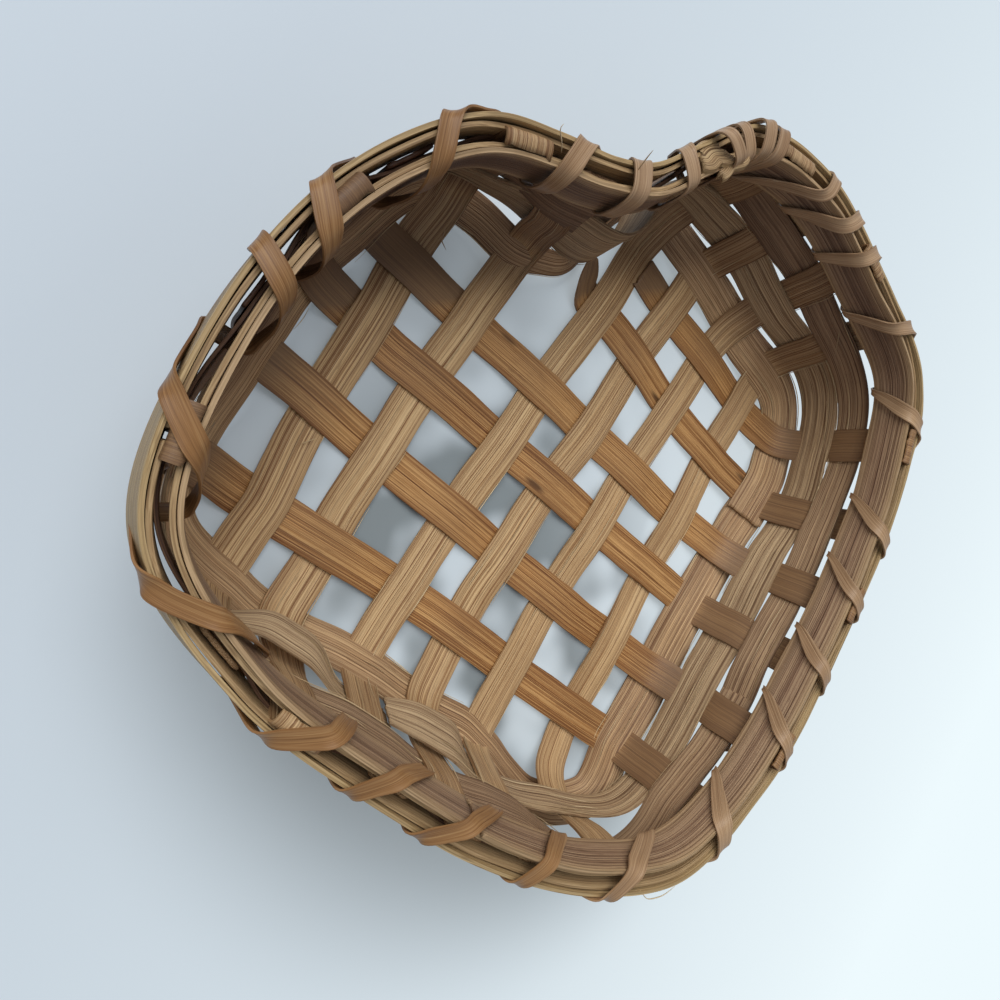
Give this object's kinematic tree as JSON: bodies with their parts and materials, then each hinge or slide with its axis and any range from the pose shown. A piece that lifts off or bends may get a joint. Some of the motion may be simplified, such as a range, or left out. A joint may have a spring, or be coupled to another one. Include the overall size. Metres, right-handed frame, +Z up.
{
  "type": "heart-shaped basket",
  "caption": "Shallow heart-shaped basket for small things, woven from flat wood splints in an open check, with a banded rim that a narrow splint lashes together.",
  "frame": {"origin": "middle of the basket's outline, at the level that it stands on", "axes": "+Z up out of the mouth, +Y towards the cleft of the heart, +X to the right seen from above with the cleft at the top"},
  "size_m": [0.1607, 0.1364, 0.0361],
  "materials": {
    "falling_splint": "satin, orange-brown, long straight grain",
    "rising_splint": "matt, pale brown, raised fibres",
    "weaver": "matt brown, fibrous",
    "rim_band": "satin, tan with greenish edges",
    "rim_filler": "matt tan",
    "rim_lashing": "smooth, slightly glossy, warm brown"
  },
  "bodies": {
    "root": {"falling_splint_1": "falling_splint", "falling_splint_2": "falling_splint", "falling_splint_3": "falling_splint", "falling_splint_4": "falling_splint", "falling_splint_5": "falling_splint", "falling_splint_6": "falling_splint", "rising_splint_1": "rising_splint", "rising_splint_2": "rising_splint", "rising_splint_3": "rising_splint", "rising_splint_4": "rising_splint", "rising_splint_5": "rising_splint", "rising_splint_6": "rising_splint", "lower_weaver": "weaver", "middle_weaver": "weaver", "upper_weaver": "weaver", "rim_inner_band": "rim_band", "rim_outer_band": "rim_band", "rim_inner_filler": "rim_filler", "rim_outer_filler": "rim_filler", "rim_lashing": "rim_lashing"}
  },
  "joints": []
}
